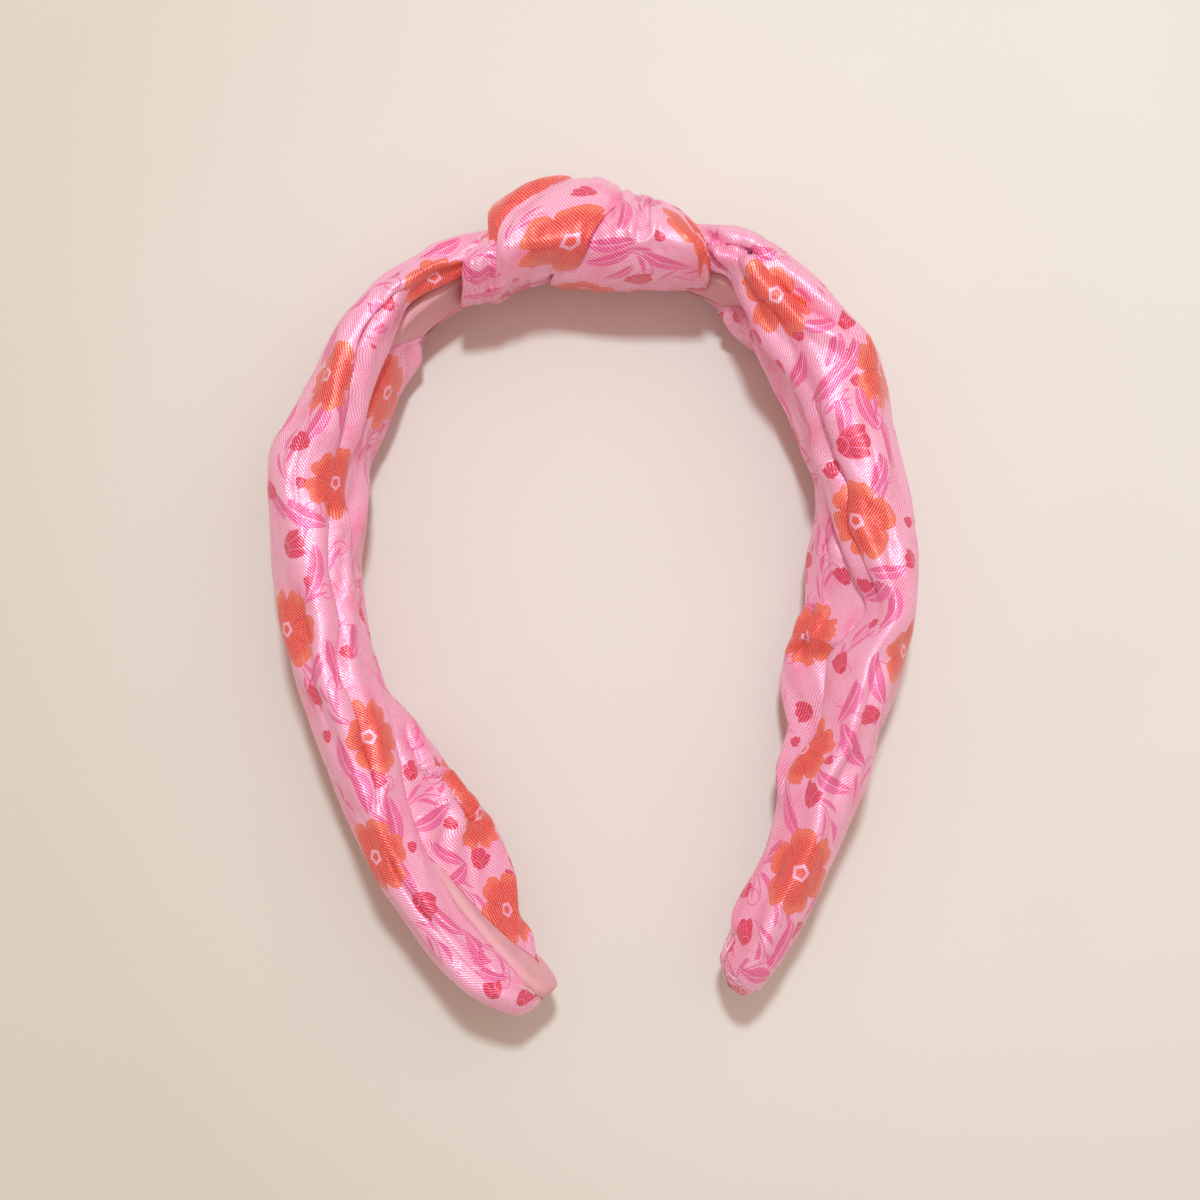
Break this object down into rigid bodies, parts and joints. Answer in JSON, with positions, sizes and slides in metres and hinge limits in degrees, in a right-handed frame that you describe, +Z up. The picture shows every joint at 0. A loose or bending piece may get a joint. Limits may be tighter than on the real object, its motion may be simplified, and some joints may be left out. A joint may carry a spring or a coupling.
{
  "type": "knotted headband",
  "caption": "Springy hoop headband in gathered printed fabric, with a tied knot beside the crown and a lined inner band.",
  "frame": {"origin": "centre of the underside of the bounding box, with the headband lying on its side", "axes": "+Z up out of the surface that it lies on, +Y from the open ends to the knot, +X to the right of both"},
  "size_m": [0.1345, 0.1737, 0.038],
  "materials": {
    "printed_fabric": "satin weave, floral print",
    "lining": "smooth dusty pink",
    "moulded_hoop": "matte moulded",
    "glue": "hot melt glue",
    "thread": "sewing thread"
  },
  "bodies": {
    "crown": {"hoop_crown": "moulded_hoop", "lining_crown": "lining", "knot_left_lobe": "printed_fabric", "knot_right_lobe": "printed_fabric", "knot_under_pass": "printed_fabric", "knot_neck_pass": "printed_fabric", "knot_glue_line": "glue", "knot_tack_stitches": "thread"},
    "left_arm": {"hoop_left_arm": "moulded_hoop", "lining_left_arm": "lining", "left_arm_fabric": "printed_fabric", "left_end_tuck": "printed_fabric", "left_glue_line": "glue"},
    "right_arm": {"hoop_right_arm": "moulded_hoop", "lining_right_arm": "lining", "right_arm_fabric": "printed_fabric", "right_end_tuck": "printed_fabric", "right_glue_line": "glue"}
  },
  "joints": [
    {"name": "left_arm_flex", "type": "hinge", "parent": "crown", "child": "left_arm", "pos_m": [-0.02713, 0.06358, 0.018], "axis": [0, 0, -1], "range_deg": [-3, 15], "stiffness_Nm_per_rad": 1.4},
    {"name": "right_arm_flex", "type": "hinge", "parent": "crown", "child": "right_arm", "pos_m": [0.02576, 0.06419, 0.018], "axis": [0, 0, 1], "range_deg": [-3, 15], "stiffness_Nm_per_rad": 1.4}
  ]
}
